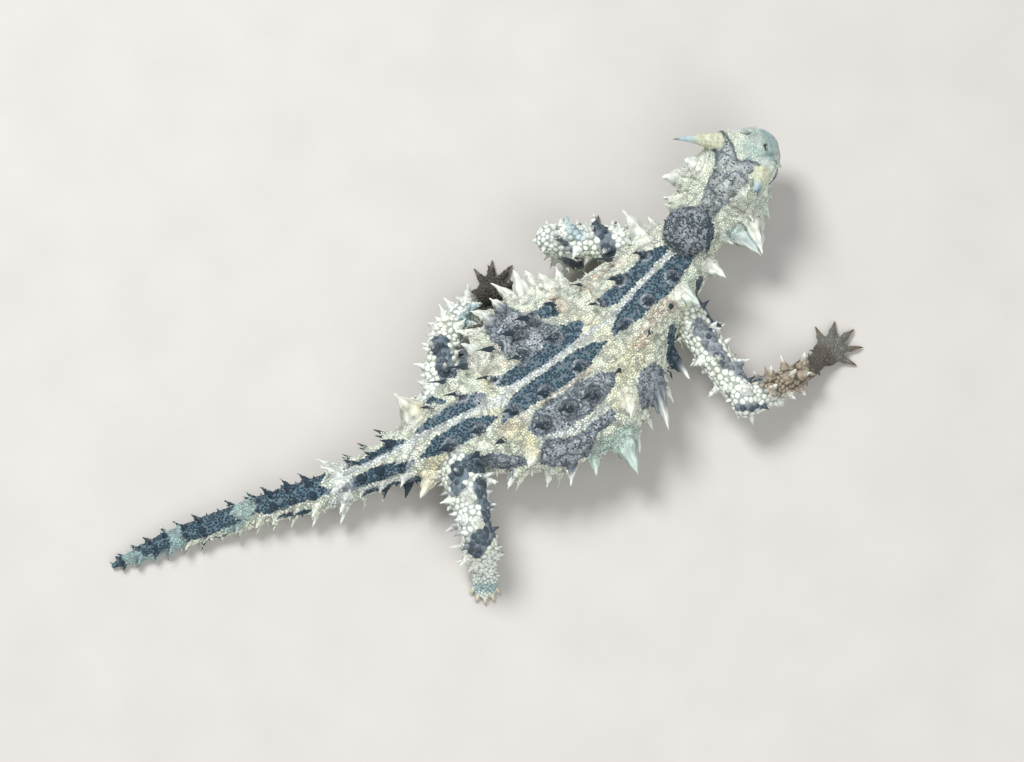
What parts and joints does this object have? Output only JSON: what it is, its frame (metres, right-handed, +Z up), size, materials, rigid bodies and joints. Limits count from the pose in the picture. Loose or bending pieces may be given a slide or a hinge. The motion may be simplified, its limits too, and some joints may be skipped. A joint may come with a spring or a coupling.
{
  "type": "thorny devil",
  "caption": "Still, life-size thorny devil lizard in mid stride, with thorns on the head, neck knob, back, flanks, legs and tail.",
  "frame": {"origin": "middle of the bounding box in plan, on the floor that the feet and the end of the tail rest on", "axes": "+Z up, the animal faces -Y, its left side is +X, the tail runs towards +Y"},
  "size_m": [0.0656, 0.1572, 0.0255],
  "materials": {
    "skin": "matt, pebbled scales, cream and yellow with slate-blue patches",
    "dark_skin": "matt, coarse grey granules",
    "horn": "satin, ribbed, pale with a bluish tip",
    "eye": "wet gloss, dark"
  },
  "bodies": {
    "root": {"head": "skin", "neck": "skin", "torso": "skin", "tail_base": "skin", "tail_middle": "skin", "tail_tip": "skin", "upper_arm_left": "skin", "upper_arm_right": "skin", "forearm_left": "skin", "forearm_right": "skin", "hand_left": "skin", "hand_right": "skin", "thigh_left": "skin", "thigh_right": "skin", "shin_left": "skin", "shin_right": "skin", "foot_left": "skin", "foot_right": "skin", "nape_knob": "dark_skin", "brow_horn_left": "horn", "brow_horn_right": "horn", "eye_left": "eye", "eye_right": "eye"}
  },
  "joints": []
}
